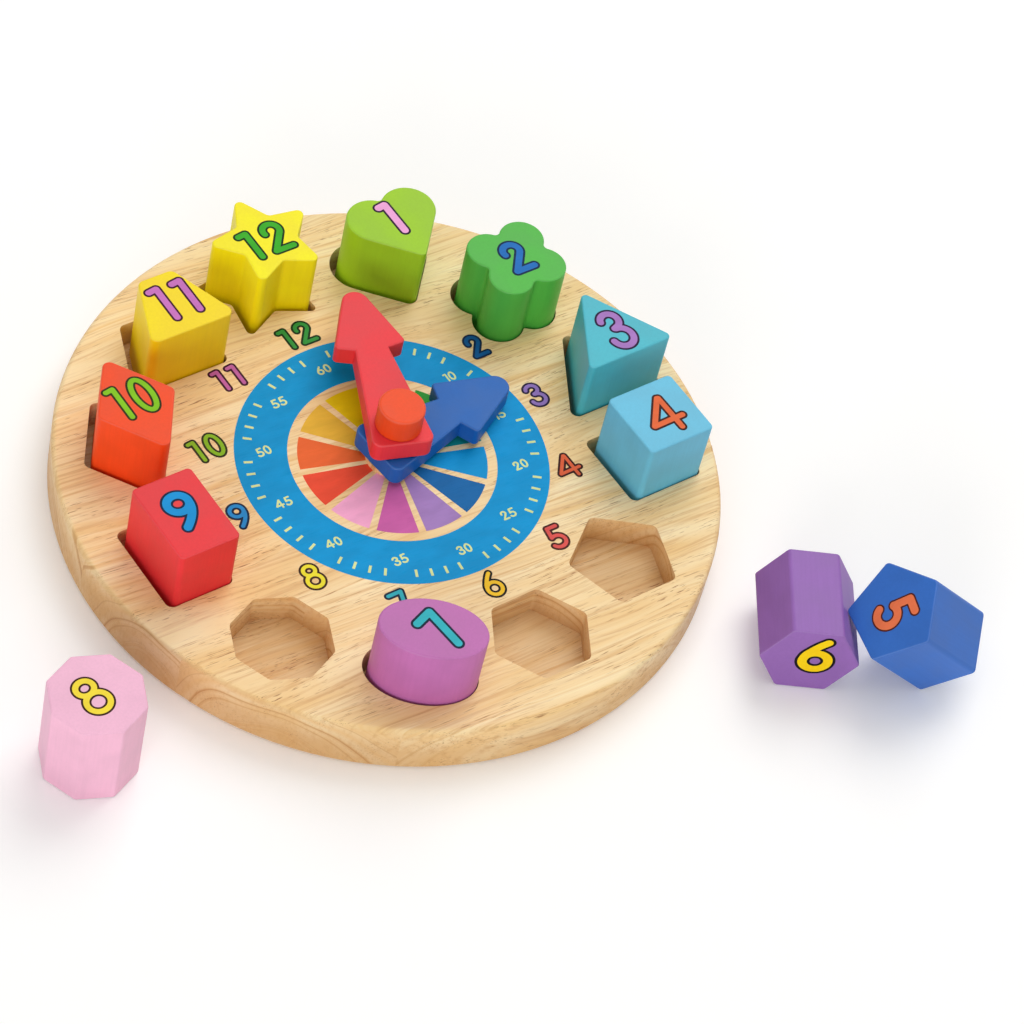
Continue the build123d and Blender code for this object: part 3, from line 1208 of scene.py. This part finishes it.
@dataclass(frozen=True)
class BoardNumerals:
    """The hour numerals on the board, on the print's own centre."""

    dial: PrintedDial
    numerals: tuple[Numeral, ...] = (
        Numeral(1, (36.3, 65.0), (6.9, 14.2)),
        Numeral(2, (67.75, 37.15), (9.7, 14.1)),
        Numeral(3, (75.7, 2.2), (10.0, 14.6)),
        Numeral(4, (65.1, -37.3), (13.0, 14.8), pen=0.75),
        Numeral(5, (38.65, -66.95), (9.9, 14.1)),
        Numeral(6, (0.05, -75.5), (10.1, 14.6)),
        Numeral(7, (-39.3, -66.6), (9.6, 14.2)),
        Numeral(8, (-64.8, -38.45), (10.2, 14.7)),
        Numeral(9, (-74.75, 2.2), (9.5, 14.4)),
        Numeral(10, (-67.95, 39.45), (16.7, 14.5)),
        Numeral(11, (-39.85, 68.5), (13.9, 13.8)),
        Numeral(12, (0.1, 76.4), (17.7, 14.2)),
    )

    def build(self) -> None:
        """Print the numerals."""
        for numeral in self.numerals:
            ink = BoardInk.at(numeral.number)
            name, label = f"board_numeral_{ink.hour:02d}", f"ink_board_{ink.name.lower()}"
            film = numeral_film(name, numeral, label, ink.colour, HourInk.at(ink.hour).edge)
            film.piece("board", self.dial.place())


@dataclass(frozen=True)
class PegAndHands:
    """Orange peg, red and blue hands, and the two bare washers between them."""

    red: str = "#EC383F"
    blue: str = "#1661B3"
    orange: str = "#F14E1A"

    def build(self, nodes: Nodes) -> None:
        """Dress the peg, the hands and the washers.

        Args:
            nodes: the CAD nodes by name.
        """
        dress(nodes["minute_hand"], SatinPaint("satin_red_minute_hand", self.red))
        dress(nodes["hour_hand"], SatinPaint("satin_blue_hour_hand", self.blue))
        dress(nodes["centre_peg"], SatinPaint("satin_orange_peg", self.orange))
        for number, name in enumerate(("spacer_washer", "hand_washer")):
            start = (700.0 + 90.0 * number, 320.0)
            dress(nodes[name], Rubberwood(f"rubberwood_{name}", start, (-60.0, 400.0)))


class BlockShape(ByHour):
    """The twelve blocks and their paints."""

    HEART = (1, "#9CCB20")
    FLOWER = (2, "#50B643")
    TRIANGLE = (3, "#4CBACA")
    SQUARE = (4, "#6AC1E0")
    PENTAGON = (5, "#336BC0")
    HEXAGON = (6, "#9566B2")
    OVAL = (7, "#C06EB0")
    OCTAGON = (8, "#F5BBD4")
    RECTANGLE = (9, "#EA3338")
    RHOMBUS = (10, "#F44A14")
    TRAPEZOID = (11, "#FFDF0A")
    STAR = (12, "#FFEF08")


@dataclass(frozen=True)
class NumberedBlock:
    """A painted block with its numeral on one flat end.

    Attributes:
        numeral: its numeral, placed from the middle of the flat end.
        heading: direction that the numbered end faces, in degrees from +x.
        lean: angle of that direction above the floor in degrees, 90 for straight up.
    """

    shape: BlockShape
    numeral: Numeral
    heading: float = 0.0
    lean: float = 90.0

    @property
    def upright(self) -> bool:
        """Whether the numbered end faces straight up."""
        return self.lean == 90.0

    def normal(self) -> Vector:
        """Find which way the numbered end faces.

        Returns:
            A direction of length 1.
        """
        if self.upright:
            return Vector((0.0, 0.0, 1.0))
        turn, tilt = math.radians(self.heading), math.radians(self.lean)
        level = math.cos(tilt)
        return Vector((math.cos(turn) * level, math.sin(turn) * level, math.sin(tilt)))

    def end_place(self, node: bpy.types.Object) -> Matrix:
        """Matrix from the numbered end's own plane to the frame.

        Args:
            node: the block's CAD node.

        Returns:
            The matrix; its origin is the middle of the flat end.
        """
        normal = self.normal()
        same_way = 0.9999
        middle, area = Vector(), 0.0
        for face in node.data.polygons:
            if face.normal.dot(normal) > same_way:
                middle += face.center * face.area
                area += face.area
        turn = math.radians(self.heading)
        level = Vector((-math.sin(turn), math.cos(turn), 0.0))
        side = Vector((1.0, 0.0, 0.0)) if self.upright else level
        axes = Matrix((side, normal.cross(side), normal)).transposed()
        return Matrix.Translation(middle / area) @ axes.to_4x4()

    def build(self, nodes: Nodes) -> None:
        """Paint the block and print its numeral.

        Args:
            nodes: the CAD nodes by name.
        """
        hour, shape = self.shape.hour, self.shape.name.lower()
        node = nodes[f"block_{hour:02d}_{shape}"]
        dress(node, SatinPaint(f"satin_{shape}", self.shape.colour, tuple(self.normal())))
        ink = HourInk.at(hour)
        name, label = f"block_numeral_{hour:02d}", f"ink_{ink.name.lower()}"
        film = numeral_film(name, self.numeral, label, ink.colour, ink.edge)
        film.piece(f"{shape}_body", self.end_place(node))


BLOCKS: tuple[NumberedBlock, ...] = (
    NumberedBlock(BlockShape.HEART, Numeral(1, (-1.75, 1.0), (8.7, 21.8), pen=1.7)),
    NumberedBlock(BlockShape.FLOWER, Numeral(2, (0.05, 0.2), (13.9, 19.8), pen=1.5)),
    NumberedBlock(BlockShape.TRIANGLE, Numeral(3, (1.5, 0.8), (14.6, 24.0), pen=1.5)),
    NumberedBlock(BlockShape.SQUARE, Numeral(4, (0.6, -1.2), (19.2, 22.0), pen=1.25)),
    NumberedBlock(
        BlockShape.PENTAGON,
        Numeral(5, (0.6, 0.1), (13.6, 21.6), turn=-5.0, pen=1.75, edge=0.7),
        heading=165.9,
        lean=44.8,
    ),
    NumberedBlock(
        BlockShape.HEXAGON,
        Numeral(6, (2.25, 4.1), (17.1, 24.4), pen=1.95, edge=1.2),
        heading=-124.3,
        lean=0.0,
    ),
    NumberedBlock(
        BlockShape.OVAL, Numeral(7, (1.95, -2.15), (13.4, 23.2), turn=20.0, pen=1.65, edge=1.0)
    ),
    NumberedBlock(
        BlockShape.OCTAGON, Numeral(8, (-2.4, -0.1), (14.0, 20.2), turn=15.5, pen=1.2, edge=0.85)
    ),
    NumberedBlock(BlockShape.RECTANGLE, Numeral(9, (-0.55, 1.4), (14.8, 22.0), pen=1.75)),
    NumberedBlock(BlockShape.RHOMBUS, Numeral(10, (-0.1, 2.5), (21.4, 21.2), pen=1.15, edge=0.9)),
    NumberedBlock(BlockShape.TRAPEZOID, Numeral(11, (0.1, 2.9), (19.8, 22.2), pen=1.45, edge=0.9)),
    NumberedBlock(BlockShape.STAR, Numeral(12, (-1.0, -0.9), (24.2, 19.8), pen=1.35, edge=0.9)),
)


def main() -> None:
    """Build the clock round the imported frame."""
    logging.basicConfig(level=logging.INFO, format="%(message)s")
    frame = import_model()
    nodes = frame["nodes"]
    Studio().build()
    GluedBoard().build(nodes)
    dial = PrintedDial()
    dial.build()
    BoardNumerals(dial).build()
    PegAndHands().build(nodes)
    for block in BLOCKS:
        block.build(nodes)


if __name__ == "__main__":
    main()
